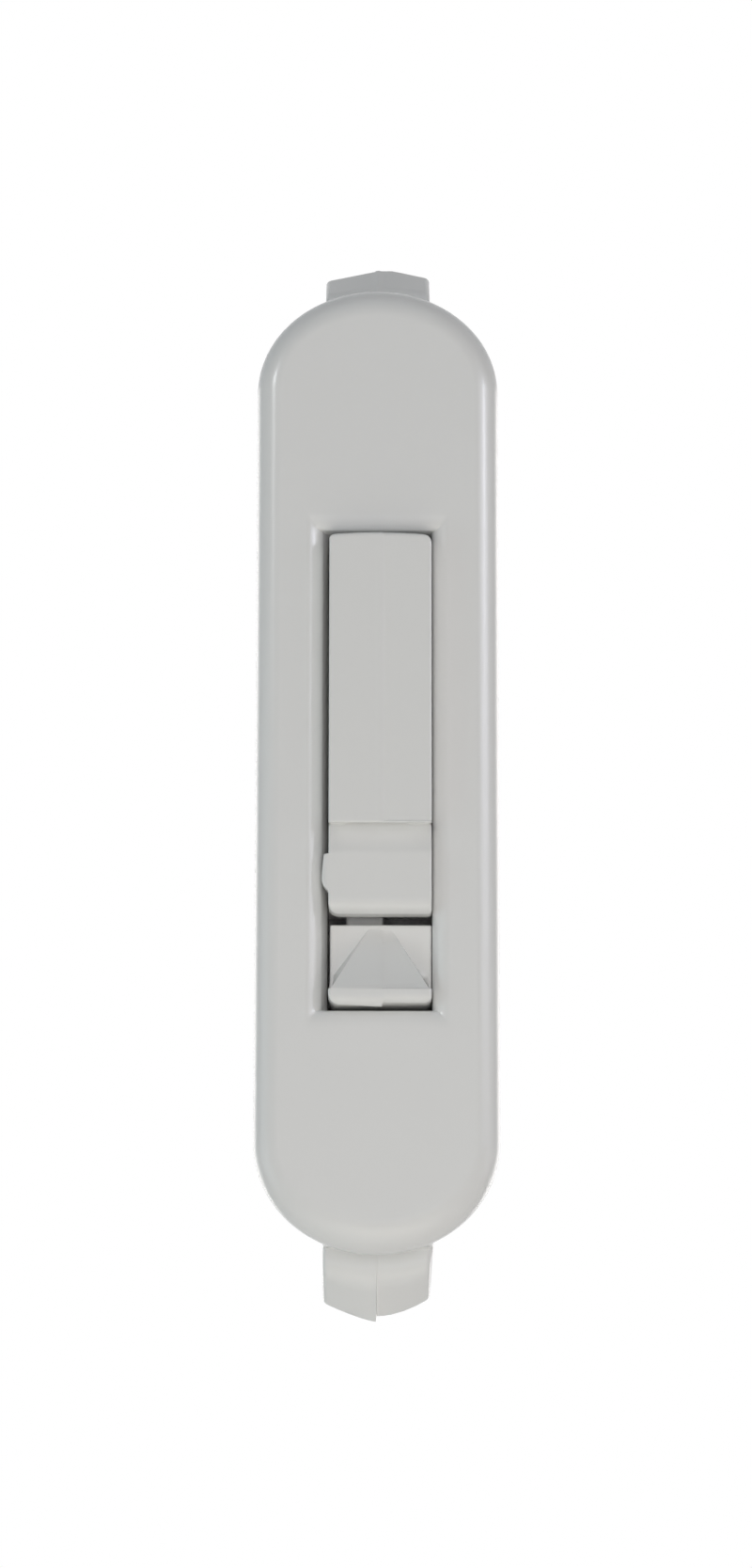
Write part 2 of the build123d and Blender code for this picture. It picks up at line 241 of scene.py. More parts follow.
class LatchSizes(PropertyGroup):
    """Sizes of the latch: nose, cross groove, hub and tail."""

    panel_rise: length("Panel rise", "How far the nose's panel stands in front of the bezel", 1.4)
    hub_rise: length("Hub rise", "How far the hub stands in front of the bezel", 0.65)
    hub_drop: length("Hub drop", "From the pivot down to the hub's lower edge", 2.0)
    hub_length: length("Hub length", "Hub from its lower edge to the groove", 3.99)
    hub_lip: length("Hub lip", "Thickness of the hub's lower lip", 2.05)
    lip_overhang: length("Lip overhang", "How far the lip hangs past the hub", 0.4)
    lip_round: length("Lip rounding", "Rounding of the hub's lower front edge", 0.9)
    hub_crest: length("Hub crest", "Rounding of the hub's upper front edge", 1.2)
    hub_corner_left: length("Hub corner, left", "Rounding of the hub's lower left corner", 0.62)
    hub_corner_right: length("Hub corner, right", "Rounding of the hub's lower right corner", 0.25)
    groove_width: length("Groove width", "Cross groove between the panel and the hub", 1.76)
    groove_depth: length("Groove depth", "Depth of the groove at the panel's foot, below the hub", 0.5)
    panel_edge: length("Panel edge", "Rounding of the panel's lower edge", 0.14)
    foot_round: length("Foot rounding", "Rounding along the groove's floor", 0.16)
    side_round: length("Side rounding", "Rounding of the latch's long edges", 0.14)
    tip_reach: length("Tip reach", "How far the rounded nose reaches past the packed one", 0.1)
    tip_round: length("Tip rounding", "Rounding of the nose's front edge at its tip", 0.25)
    tip_corner_left: length("Tip corner, left", "Rounding of the nose's left corner", 0.35)
    tip_corner_right: length("Tip corner, right", "Rounding of the nose's right corner", 0.6)
    tip_crown: length("Tip crown", "Height of the nose's end over its corners", 0.14)
    nose_depth: length("Nose depth", "Underside of the nose at the hub", 2.2)
    nose_tip_depth: length("Nose tip depth", "Underside of the nose at its tip", 1.4)
    cam_flat: length("Cam flat", "From the pivot to each of the hub's two flats", 2.0)
    web: length("Web", "Thickness of the nose between its side recesses", 2.4)
    recess_front: length("Recess front wall", "Wall in front of each side recess", 3.2)
    recess_back: length("Recess back wall", "Wall behind each side recess", 0.7)
    recess_end: length("Recess end wall", "Wall between each side recess and the tip", 1.8)
    recess_corner: length("Recess corner", "Rounding of each side recess's corners", 0.5)
    tail_width: length("Tail width", "Tail that runs through the button", 2.4)
    tail_shift: length("Tail shift", "How far the tail lies to the right of the latch's middle", -1.0)
    tail_front: length("Tail front", "Depth of the tail's front face", 1.0)
    tail_thickness: length("Tail thickness", "Tail from front to back", 1.6)
    trough: length("Trough", "How far the groove's middle runs up behind the panel's lower edge", 0.7)
    trough_half: length("Trough half width", "Half width of that trough", 1.6)
    parting_step: length("Parting step", "Step down to the right at the panel's parting line", 0.1)
    parting_half: length("Parting half width", "Half width of that step", 0.1)
    parting_shift: length("Parting shift", "How far the parting line lies right of the middle", 0.2)


class ButtonSizes(PropertyGroup):
    """Sizes of the push button."""

    length: length("Length", "Button from its lower end to the slot", 5.5)
    flank_height: length("Flank height", "Low flanks in front of the seat plane", 1.1)
    flank_sink: length("Flank sink", "How far the right flank's outer edge sinks towards the bar", 0.2)
    flank_inset: length("Flank inset", "How far the left flank stands in from the bar's end", 0.1)
    plate: length("Plate", "Thickness of the button's front plate", 1.2)
    ramp_start: length("Ramp start", "From the button's upper end to the ramp's foot", 0.3)
    ramp_width: length("Ramp width", "Width of the ramp at its foot", 1.5)
    slant_left: amount("Left slant", "How far the ramp's left side spreads for its height", 0.35)
    slant_right: amount("Right slant", "How far the ramp's right side spreads for its height", 0.15)
    ramp_crease: length("Ramp crease", "Rounding where the ramp meets the plate and the bar", 0.3)
    bar_rise: length("Bar rise", "How far the bar stands in front of the bezel", 0.65)
    bar_length: length("Bar length", "Raised bar at the button's lower end", 1.1)
    bar_round: length("Bar rounding", "Rounding of the bar's lower front edge", 0.55)
    bar_corner_left: length("Bar corner, left", "Rounding of the bar's left end", 0.68)
    bar_corner_right: length("Bar corner, right", "Rounding of the bar's right end", 0.5)
    side_round: length("Side rounding", "Rounding of the button's long edges", 0.2)
    top_round: length("Top rounding", "Rounding of the button's upper edge", 0.15)
    wall: length("Wall", "Thickness of the walls behind the plate", 1.0)
    skirt: length("Skirt", "Depth of the walls behind the seat plane", 4.3)
    rib_radius: length("Rib radius", "Rib and bridge that the latch's tail runs between", 0.5)
    end_gap: length("End gap", "From the packed button's lower end to the moulding's", 0.12)
    parting_step: length("Parting step", "Step down to the right at the ramp's parting line", 0.14)
    parting_half: length("Parting half width", "Half width of that step", 0.09)
    parting_shift: length("Parting shift", "How far the parting line lies right of the middle", 0.17)
    mismatch: length("Mismatch", "Step between the two halves of the bar's lower edge", 0.16)


class Finishes(PropertyGroup):
    """Colours and gloss of the mouldings and the steel."""

    bezel_colour: colour("Bezel", "White of the bezel's moulding", (0.56, 0.558, 0.553))
    bezel_roughness: amount("Bezel roughness", "Gloss of the bezel's moulding", 0.23)
    latch_colour: colour("Latch", "White of the latch and the button", (0.575, 0.566, 0.547))
    latch_roughness: amount("Latch roughness", "Gloss of the latch and the button", 0.34)
    # The steel's colour is kept dark as painted shade: it stands in for the shade of the gap round the
    # pivot pin, where the pin would otherwise glint.
    steel_shade_colour: colour("Steel", "Oiled steel of the pin and the spring", (0.1, 0.1, 0.105))


class StageSettings(PropertyGroup):
    """Floor, lamps and camera."""

    floor_colour: colour("Floor", "Pale floor under the lock", (0.86, 0.86, 0.86))
    floor_height: length("Floor height", "Height of the floor", -400.0)
    sky_colour: colour("Surround", "Even light of the room", (0.85, 0.93, 1.0))
    sky_strength: amount("Surround strength", "Level of the even light", 0.06)
    lens: FloatProperty(
        name="Lens", description="Focal length on a 36 mm sensor", default=105.26, unit="CAMERA"
    )


# Outlines

def corner_arcs(before, corners, after, radii, steps):
    """Arcs that round corners, (corners, steps, 2).

    Each arc touches both sides of its corner radius / tan(half the corner's angle) away from it, and its
    points turn evenly about a centre that lies radius / sin(half the angle) along the bisector.
    """
    to_before = before - corners
    to_before = to_before / np.linalg.norm(to_before, axis=1, keepdims=True)
    to_after = after - corners
    to_after = to_after / np.linalg.norm(to_after, axis=1, keepdims=True)
    half = np.arccos(np.clip((to_before * to_after).sum(axis=1), -1, 1))[:, None] / 2
    bisector = to_before + to_after
    bisector = bisector / np.linalg.norm(bisector, axis=1, keepdims=True)
    radius = np.asarray(radii, float)[:, None]
    centre = corners + bisector * radius / np.sin(half)
    first = corners + to_before * radius / np.tan(half) - centre
    last = corners + to_after * radius / np.tan(half) - centre
    turn = (np.pi - 2 * half)[:, None]
    share = np.linspace(0, 1, steps)[None, :, None]
    swept = np.sin((1 - share) * turn) * first[:, None] + np.sin(share * turn) * last[:, None]
    return centre[:, None] + swept / np.sin(turn)


def rounded_outline(corners, radii, steps=ROUND_STEPS):
    """Closed outline, every corner of which is an arc tangent to its two sides."""
    corners = np.asarray(corners, float)
    arcs = corner_arcs(np.roll(corners, 1, axis=0), corners, np.roll(corners, -1, axis=0), radii, steps)
    return arcs.reshape(-1, 2)


def rounded_path(points, radii, steps=ROUND_STEPS):
    """Open path through the arcs of its inner corners, one radius for each of them."""
    points = np.asarray(points, float)
    return corner_arcs(points[:-2], points[1:-1], points[2:], radii, steps).reshape(-1, 2)


def corner_drop(distance, radius):
    """How far a quarter circle falls short of its corner, at a distance along one side from that corner."""
    left = radius - np.clip(distance, 0, radius)
    return radius - np.sqrt(radius**2 - left**2)


def corner_stations(radius, steps=ROUND_STEPS):
    """Distances from a corner that divide its quarter circle evenly."""
    return radius * (1 - np.cos(np.linspace(0, np.pi / 2, steps)))


def mirrored_quarters(quarter):
    """Whole loop from its upper right quarter, (points, 2), mirrored across both axes."""
    upper_left = (quarter * [-1, 1])[::-1]
    lower_right = (quarter * [1, -1])[::-1]
    return np.concatenate([quarter[:-1], upper_left[:-1], -quarter[:-1], lower_right[:-1]])


def rectangle_quarter(half_width, half_length, corner):
    """Quarter of a rectangle with round corners: straight side, corner arc and half of the end."""
    turn = np.linspace(0, np.pi / 2, CORNER_POINTS)
    side = np.linspace(0, half_length - corner, SIDE_POINTS + ARC_POINTS)
    end = np.linspace(half_width - corner, 0, END_POINTS)
    x = np.concatenate([np.full(side.size, half_width), half_width - corner + corner * np.cos(turn), end])
    z = np.concatenate([side, half_length - corner + corner * np.sin(turn), np.full(end.size, half_length)])
    return np.stack([x, z], axis=1)


def stadium_quarter(half_width, half_length, end_depth):
    """Quarter of the bezel's outline and its outward normals: a straight side and a quarter ellipse."""
    straight = half_length - end_depth
    corner = np.radians([38.0, 50.0])
    angle = np.concatenate([
        np.zeros(SIDE_POINTS),
        np.linspace(0, corner[0], ARC_POINTS),
        np.linspace(corner[0], corner[1], CORNER_POINTS),
        np.linspace(corner[1], np.pi / 2, END_POINTS),
    ])
    rise = np.full(angle.size, straight)
    rise[:SIDE_POINTS] = np.linspace(0, straight, SIDE_POINTS)
    points = np.stack([half_width * np.cos(angle), rise + end_depth * np.sin(angle)], axis=1)
    normals = np.stack([end_depth * np.cos(angle), half_width * np.sin(angle)], axis=1)
    return points, normals / np.linalg.norm(normals, axis=1, keepdims=True)


def flat_loop(outline, y):
    """Loop in space from an outline in X and Z and its depth y, one value or one for each point."""
    return np.stack([outline[:, 0], np.broadcast_to(y, len(outline)), outline[:, 1]], axis=1)


# Skins

def loft(loops):
    """Closed skin over a stack of loops, (sections, points, 3).

    Point j of loop i joins point j of loop i + 1 and point j + 1 of its own loop, and the first and the
    last loop are each closed by one flat face.
    """
    sections, points = loops.shape[:2]
    index = np.arange(sections * points).reshape(sections, points)
    ahead = np.roll(index, -1, axis=1)
    quads = np.stack([index[:-1], ahead[:-1], ahead[1:], index[1:]], axis=-1).reshape(-1, 4)
    return loops.reshape(-1, 3), quads.tolist() + [index[0, ::-1].tolist(), index[-1].tolist()]


def stack_sections(columns, z):
    """Loops of a solid cut at every height z, where column j holds x and y of each section's point j."""
    x = np.stack([np.broadcast_to(column[0], z.shape) for column in columns], axis=1)
    y = np.stack([np.broadcast_to(column[1], z.shape) for column in columns], axis=1)
    return np.stack([x, y, np.broadcast_to(z[:, None], x.shape)], axis=-1)


def edge_columns(x, y, radius, start, end, steps=ROUND_STEPS):
    """Columns of an edge rounding: points at radius from x, y, turned from start to end degrees."""
    turn = np.radians(np.linspace(start, end, steps))
    return [(x + radius * np.cos(a), y + radius * np.sin(a)) for a in turn]


def carry_across(outline, x, inset):
    """Loops of a closed (y, z) outline carried along X.

    Loop k lies at x[k], with every point moved inwards by inset[k] along the outline's normal, which is
    the chord between its neighbours turned by a right angle.
    """
    chord = np.roll(outline, -1, axis=0) - np.roll(outline, 1, axis=0)
    chord = chord / np.linalg.norm(chord, axis=1, keepdims=True)
    area = np.sum(outline[:, 0] * np.roll(outline[:, 1], -1) - outline[:, 1] * np.roll(outline[:, 0], -1))
    inwards = np.stack([-chord[:, 1], chord[:, 0]], axis=1) * np.sign(area)
    moved = outline[None] + inset[:, None, None] * inwards[None]
    across = np.broadcast_to(x[:, None, None], moved.shape[:2] + (1,))
    return np.concatenate([across, moved], axis=2)


def rounded_stations(half_width, radius, middle):
    """Places across a piece and their insets: two rounded edges and the given places between them."""
    turn = np.linspace(0, np.pi / 2, ROUND_STEPS)
    edge = half_width - radius * (1 - np.cos(turn))
    inset = radius * (1 - np.sin(turn))
    x = np.concatenate([-edge, middle, edge[::-1]])
    return x, np.concatenate([inset, np.zeros(len(middle)), inset[::-1]])


def turned(profile, x, z, points=40):
    """Loops of a (radius, y) profile turned about the line along Y through x and z."""
    angle = np.linspace(0, 2 * np.pi, points, endpoint=False)
    radius, y = np.asarray(profile, float).T
    ring = np.stack([np.cos(angle), np.zeros(points), np.sin(angle)], axis=1)
    place = np.stack([np.full(len(y), x), y, np.full(len(y), z)], axis=1)
    return radius[:, None, None] * ring[None] + place[:, None]


def add_piece(name, skins, body, node, material):
    """Object made of closed skins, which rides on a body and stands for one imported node."""
    counts = np.cumsum([0] + [len(points) for points, faces in skins])
    vertices = np.concatenate([points for points, faces in skins])
    faces = [[v + start for v in face] for start, skin in zip(counts, skins) for face in skin[1]]
    mesh = bpy.data.meshes.new(name)
    mesh.from_pydata(vertices.tolist(), [], faces)
    work = bmesh.new()
    work.from_mesh(mesh)
    bmesh.ops.remove_doubles(work, verts=work.verts, dist=MERGE_DISTANCE)
    bmesh.ops.recalc_face_normals(work, faces=work.faces)
    work.to_mesh(mesh)
    work.free()
    mesh.shade_smooth()
    mesh.set_sharp_from_angle(angle=SHARP_ANGLE)
    mesh.materials.append(material)
    piece = bpy.data.objects.new(name, mesh)
    bpy.context.scene.collection.objects.link(piece)
    weighted = piece.modifiers.new("Face weighted normals", "WEIGHTED_NORMAL")
    weighted.keep_sharp = True
    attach(piece, body)
    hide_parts(node)


# Pieces of the housing

def bezel_skin(sizes):
    """Bezel, pocket and box as one stack of loops.

    The loops run from the pocket's floor up its walls to a ledge, over the window's rolled edge (a quarter
    circle whose offset grows as radius * (1 - cos), pressed to a shallower ellipse at the ends), across
    the face, over the outer edge (a quarter circle whose radius goes from the side's to the end's with
    the square of the normal's Z), down to the seat, into the hollow back and down the box to its floor.
    """
    half_width = HOUSING_HIGH[0]
    outline, normals = (mirrored_quarters(part) for part in stadium_quarter(
        half_width, sizes.length / 2, sizes.end_depth
    ))

    def rectangle(width, grow, corner, y, end_grow=None, shift=0.0, drop=0.0):
        """Rectangle round the window's middle, grown all round or by end_grow at its ends, and moved."""
        half_length = sizes.window_length / 2 + (grow if end_grow is None else end_grow)
        quarter = rectangle_quarter(width / 2 + grow, half_length, corner)
        return flat_loop(mirrored_quarters(quarter) + [shift, sizes.window_middle - drop], y)

    def rim(turn):
        """Rolled edge after a turn: shortened and lowered by one drop, so its lower end stays."""
        grow, depth = radius * (1 - np.cos(turn)), radius * (1 - np.sin(turn))
        left = np.clip(1 - depth / sizes.end_roll, 0, 1)
        drop = sizes.upper_inset / 2
        end_grow = radius * (1 - np.sqrt(1 - left**2)) - drop
        return rectangle(sizes.window_width, grow, 0, FRONT + depth, end_grow, sizes.window_shift, drop)

    def stadium(inset, y):
        """Bezel's outline moved inwards along its normals."""
        return flat_loop(outline - normals * np.reshape(inset, (-1, 1)), y)

    roll = np.linspace(0, np.pi / 2, EDGE_STEPS)
    radius = sizes.window_round
    edge = sizes.side_round + (sizes.end_round - sizes.side_round) * normals[:, 1] ** 2
    base = sizes.base_round
    back = sizes.pocket_depth + sizes.floor
    inner_depths = (sizes.pocket_depth, -sizes.ledge_height)
    ledge = sizes.end_ledge
    loops = [rectangle(sizes.pocket_inner, 0, 0, y, -ledge, sizes.pocket_shift) for y in inner_depths]
    loops += [rim(a) for a in roll]
    loops += [stadium(edge * (1 - np.sin(a)), FRONT + edge * (1 - np.cos(a))) for a in roll]
    loops += [stadium(np.array([0.0]), -base), stadium(np.array([base]), 0)]
    loops += [stadium(np.array([sizes.seat_land]), y) for y in (0, -sizes.relief_depth)]
    outside = sizes.wall - PIN_SHOWS
    depths = (-sizes.relief_depth, back - base)
    loops += [rectangle(sizes.pocket_width, outside, sizes.box_corner, y) for y in depths]
    loops += [rectangle(sizes.pocket_width, outside - base, sizes.box_corner - base, back)]
    return loft(np.stack(loops))


def tab_outline(bezel, tab, reach):
    """Leg and hook of a tab from the side, as (y, z) corners with their own roundings."""
    leg = bezel.length / 2 - tab.leg_inset
    shoulder = leg + tab.seat_width + reach - HOUSING_HIGH[2]
    inner = leg - tab.leg_thickness
    end = HOUSING_HIGH[1]
    root = -bezel.relief_depth - tab.root_depth
    corners = [
        (root, inner),
        (root, leg),
        (tab.seat, leg),
        (tab.seat, shoulder),
        (tab.edge, reach + tab.tip_cut),
        (end, leg),
        (end, inner),
    ]
    radii = [tab.corner, tab.corner, tab.crease, tab.seat_round, tab.tip_round, tab.corner, tab.corner]
    return rounded_outline(corners, radii), leg


def tab_skin(bezel, tab, lower):
    """Snap tab: its side outline carried across, with a curved end and a parting line.

    The end falls away from the middle. On the upper tab the fall is a straight gable each way from a flat
    peak, and on the lower one it grows with a power of the distance, from a step between the two halves.
    The fall acts on each point in proportion to how far the hook stands out of the leg there. The lower
    tab's right side also widens towards its root.
    """
    reach = -HOUSING_LOW[2] if lower else HOUSING_HIGH[2]
    outline, leg = tab_outline(bezel, tab, reach)
    half = tab.width / 2
    right_places = np.array([0.04, 0.12, 0.2, 0.5, 1.0, 1.8, 2.6]) * MM
    middle = np.concatenate([-right_places[::-1], right_places])
    x, inset = rounded_stations(half, tab.side_round, middle)
    side = np.abs(x) / half
    if lower:
        inset = inset + np.where(x > 0, tab.half_step, 0)
        right_fall = tab.mismatch + tab.lower_fall_right * side**RIGHT_FALL_POWER
        fall = np.where(x > 0, right_fall, tab.lower_fall_left * side**LEFT_FALL_POWER)
    else:
        inset = inset + np.where(np.abs(x) > tab.ridge_half, tab.half_step, 0)
        from_peak = x - tab.peak_shift
        run = np.where(from_peak > 0, half - tab.peak_shift, half + tab.peak_shift) - tab.peak
        slope = np.clip((np.abs(from_peak) - tab.peak) / run, 0, 1)
        fall = slope * np.where(from_peak > 0, tab.upper_fall_right, tab.upper_fall_left)
    loops = carry_across(outline, x, inset)
    share = np.clip((loops[:, :, 2] - leg) / (reach - leg), 0, 1)
    root = 1 - np.clip((loops[:, :, 2] - leg) / tab.seat_width, 0, 1)
    loops[:, :, 2] -= share * fall[:, None]
    if lower:
        flare = np.where(x > 0, side**FLARE_SIDE_POWER, 0) * tab.root_flare
        loops[:, :, 0] += flare[:, None] * root**FLARE_ROOT_POWER
        loops[:, :, 2] *= -1
    return loft(loops)


def rib_skins(sizes):
    """Four stiffening ribs across the hollow back, each a bar with its free edges rounded."""
    half_box = sizes.window_length / 2 + sizes.wall
    skins = []
    for side in (1, -1):
        for row in (1, 2):
            z = sizes.window_middle + side * (half_box + row * sizes.rib_pitch)
            past = max(abs(z) - (sizes.length / 2 - sizes.end_depth), 0) / sizes.end_depth
            reach = HOUSING_HIGH[0] * np.sqrt(1 - past**2) - sizes.seat_land
            low, high = z - sizes.rib_width / 2, z + sizes.rib_width / 2
            back, deep = -sizes.base_round, -sizes.relief_depth - sizes.base_round
            corners = [(deep, low), (back, low), (back, high), (deep, high)]
            outline = rounded_outline(corners, RIB_ROUNDS)
            x = np.array([-reach, reach])
            skins.append(loft(carry_across(outline, x, np.zeros(2))))
    return skins


def anchor_skins(bezel):
    """Block on the pocket's floor and the round head of the stake that holds the detent spring.

    The block is a square with round corners carried to the spring's back. The stake is a profile turned
    about the spring's middle, whose head is a dome: its radius falls with a power of the cosine as its
    height grows with the sine.
    """
    x = (SPRING_LOW[0] + SPRING_HIGH[0]) / 2
    z = SPRING_HIGH[2] - ANCHOR_SIZE / 2
    face = SPRING_FACE
    seat = face + SPRING_THICKNESS
    top = mirrored_quarters(rectangle_quarter(ANCHOR_SIZE / 2, ANCHOR_SIZE / 2, ANCHOR_CORNER)) + [x, z]
    block = np.stack([flat_loop(top, y) for y in (bezel.pocket_depth + ANCHOR_SINK, seat)])
    turn = np.linspace(0, np.pi / 2, ROUND_STEPS)[1:-1]
    across = STAKE_RADIUS * np.cos(turn) ** STAKE_POWER
    dome = np.stack([across, face - STAKE_HEIGHT * np.sin(turn)], axis=1)
    stem = STAKE_RADIUS * STAKE_STEM
    profile = np.concatenate([[(stem, seat), (stem, face), (STAKE_RADIUS, face)], dome])
    return [loft(block), loft(turned(profile, x, z))]


# Latch

def latch_front(sizes, hub_low, hub_high, panel_low, tip):
    """Front of the latch from the side, as (z, y) points: lip, hub, groove, panel and tip."""
    hub = FRONT - sizes.hub_rise
    panel = FRONT - sizes.panel_rise
    groove = hub + sizes.groove_depth
    corners = [
        (hub_low, hub + sizes.hub_lip),
        (hub_low, hub),
        (hub_high, hub),
        (panel_low - LATCH_DRAFT, groove),
        (panel_low, panel),
        (tip, panel),
        (tip, panel + sizes.hub_lip),
    ]
    radii = [sizes.lip_round, sizes.hub_crest, sizes.foot_round, sizes.panel_edge, sizes.tip_round]
    return rounded_path(corners, radii)


def latch_skin(sizes):
    """Nose, groove and hub as level sections stacked along Z.

    A section is a rectangle from the front profile to the back one with rounded edges, a small step near
    the middle of the panel, and a square notch in each side where the side recesses run. The back is the
    deeper of the nose's sloping underside and the cam, which is a circle cut by two flats that stand a
    full swing apart. The corners seen from the front narrow the sections by quarter circles. Last, the
    groove's floor is drawn up behind the panel's lower edge, farther in the middle than at both sides.
    """
    hub_low = PIVOT_Z - sizes.hub_drop
    hub_high = hub_low + sizes.hub_length
    panel_low = hub_high + sizes.groove_width
    tip = LATCH_HIGH[2] + sizes.tip_reach
    recess_low, recess_high = panel_low, LATCH_HIGH[2] - sizes.recess_end
    cam_radius = sizes.cam_flat / np.cos(SWING / 2)
    lip_end = hub_low + sizes.lip_overhang
    path = latch_front(sizes, hub_low, hub_high, panel_low, tip)
    recess_turn = corner_stations(sizes.recess_corner)
    z = np.concatenate([
        path[:, 0],
        hub_low + corner_stations(sizes.hub_corner_left),
        hub_low + corner_stations(sizes.hub_corner_right),
        tip - corner_stations(sizes.tip_corner_left),
        tip - corner_stations(sizes.tip_corner_right),
        [lip_end - STEP, lip_end, recess_low, recess_high],
        recess_low + STEP + recess_turn,
        recess_high - STEP - recess_turn,
        PIVOT_Z + cam_radius * np.sin(np.linspace(-np.pi / 4, np.pi / 2, 40)),
        np.linspace(panel_low, tip, 24),
    ])
    z = np.unique(np.round(z, 7))

    front = np.interp(z, path[:, 0], path[:, 1])
    rise = z - PIVOT_Z
    circle = np.sqrt(np.clip(cam_radius**2 - rise**2, 0, None))
    swung_flat = (sizes.cam_flat + rise * np.sin(SWING)) / np.cos(SWING)
    cam = PIVOT_Y + np.minimum(np.minimum(circle, sizes.cam_flat), swung_flat)
    underside = np.interp(z, [panel_low, tip], [sizes.nose_depth, sizes.nose_tip_depth])
    lip_back = FRONT - sizes.hub_rise + sizes.hub_lip
    back = np.where(z < lip_end, lip_back, np.maximum(underside, cam))

    from_hub, from_tip = z - hub_low, tip - z
    right = LEAN + HALF_WIDTH - corner_drop(from_hub, sizes.hub_corner_right)
    right = right - corner_drop(from_tip, sizes.tip_corner_right)
    left = LEAN - HALF_WIDTH + corner_drop(from_hub, sizes.hub_corner_left)
    left = left + corner_drop(from_tip, sizes.tip_corner_left)
    radius = np.minimum(sizes.side_round, EDGE_SHARE * (back - front))

    inside = (z > recess_low + STEP / 2) & (z < recess_high - STEP / 2)
    notch = np.where(inside, HALF_WIDTH - sizes.web / 2, 0)
    pinch = corner_drop(np.minimum(z - recess_low, recess_high - z) - STEP, sizes.recess_corner)
    near = np.clip(FRONT - sizes.panel_rise + sizes.recess_front + pinch, front + radius, back - radius)
    far = np.clip(back - sizes.recess_back - pinch, near, back - radius)

    step = np.interp(z, [panel_low, panel_low + sizes.panel_edge], [0, sizes.parting_step])
    parting = LEAN + sizes.parting_shift
    across = np.array([-2.5, -2.3, -2.1, -1.85, -1.6, -1.2, -0.6, 0.0]) * MM
    columns = edge_columns(left + radius, front + radius, radius, 180, 270)
    columns += [(np.maximum(x, left + radius), front) for x in across]
    columns += [(parting - sizes.parting_half, front), (parting + sizes.parting_half, front + step)]
    columns += [(np.minimum(-x, right - radius), front + step) for x in across[-2::-1]]
    columns += edge_columns(right - radius, front + step + radius, radius, 270, 360)
    columns += [(right, near), (right - notch, near), (right - notch, far), (right, far)]
    columns += edge_columns(right - radius, back - radius, radius, 0, 90)
    columns += edge_columns(left + radius, back - radius, radius, 90, 180)
    columns += [(left, far), (left + notch, far), (left + notch, near), (left, near)]
    loops = stack_sections(columns, z)
    aside = (loops[:, :, 0] - LEAN) / HALF_WIDTH
    near_tip = np.clip((loops[:, :, 2] - (tip - CROWN_RUN)) / CROWN_RUN, 0, 1)
    loops[:, :, 2] -= sizes.tip_crown * near_tip * aside**2

    panel = FRONT - sizes.panel_rise + TROUGH_START
    groove = FRONT - sizes.hub_rise + sizes.groove_depth
    deep = np.clip((loops[:, :, 1] - panel) / (groove - panel), 0, 1)
    at_foot = np.interp(loops[:, :, 2], panel_low + TROUGH_RUN, [0, 1, 0])
    beside = np.clip((np.abs(loops[:, :, 0]) - sizes.trough_half) / TROUGH_SLOPE, 0, 1)
    drawn = np.where(loops[:, :, 1] < groove + TROUGH_BACK, deep * at_foot, 0)
    loops[:, :, 2] += sizes.trough * drawn * (1 - TROUGH_EASE * beside**2 * (3 - 2 * beside))
    return loft(loops)


def tail_skin(sizes):
    """Tail of the latch: a rounded bar from the hub's middle down through the button."""
    radius = TAIL_ROUND
    z = np.concatenate([LATCH_LOW[2] + corner_stations(radius), [PIVOT_Z]])
    shrink = np.concatenate([corner_drop(corner_stations(radius), radius), [0]])
    middle = LEAN + sizes.tail_shift
    left, right = middle - sizes.tail_width / 2 + shrink, middle + sizes.tail_width / 2 - shrink
    front, back = sizes.tail_front + shrink, sizes.tail_front + sizes.tail_thickness - shrink
    columns = edge_columns(left + radius, front + radius, radius, 180, 270)
    columns += edge_columns(right - radius, front + radius, radius, 270, 360)
    columns += edge_columns(right - radius, back - radius, radius, 0, 90)
    columns += edge_columns(left + radius, back - radius, radius, 90, 180)
    return loft(stack_sections(columns, z))


def gate_skin(sizes):
    """Trimmed moulding gate: rounded four-sided sections along X that close in towards the tip."""
    hub = FRONT - sizes.hub_rise
    hub_high = PIVOT_Z - sizes.hub_drop + sizes.hub_length
    reach = np.array([-0.3, 0.0, 0.29, 0.36, 0.4, 0.42]) * MM
    upper = hub_high - np.array([0.12, 0.12, 0.18, 0.7, 1.2, 1.5]) * MM
    lower = hub_high - np.array([2.6, 2.6, 2.25, 2.1, 2.0, 1.9]) * MM
    front = hub + np.array([0.005, 0.005, 0.03, 0.07, 0.12, 0.2]) * MM
    back = hub + np.array([1.1, 1.1, 1.0, 0.6, 0.55, 0.45]) * MM
    radius = np.array([0.1, 0.1, 0.1, 0.1, 0.08, 0.05]) * MM
    loops = []
    places = LEAN - HALF_WIDTH - reach
    for x, high, low, near, far, corner in zip(places, upper, lower, front, back, radius):
        outline = rounded_outline([(near, low), (near, high), (far, high), (far, low)], [corner] * 4)
        loops.append(np.concatenate([np.full((len(outline), 1), x), outline], axis=1))
    return loft(np.stack(loops))


# Push button

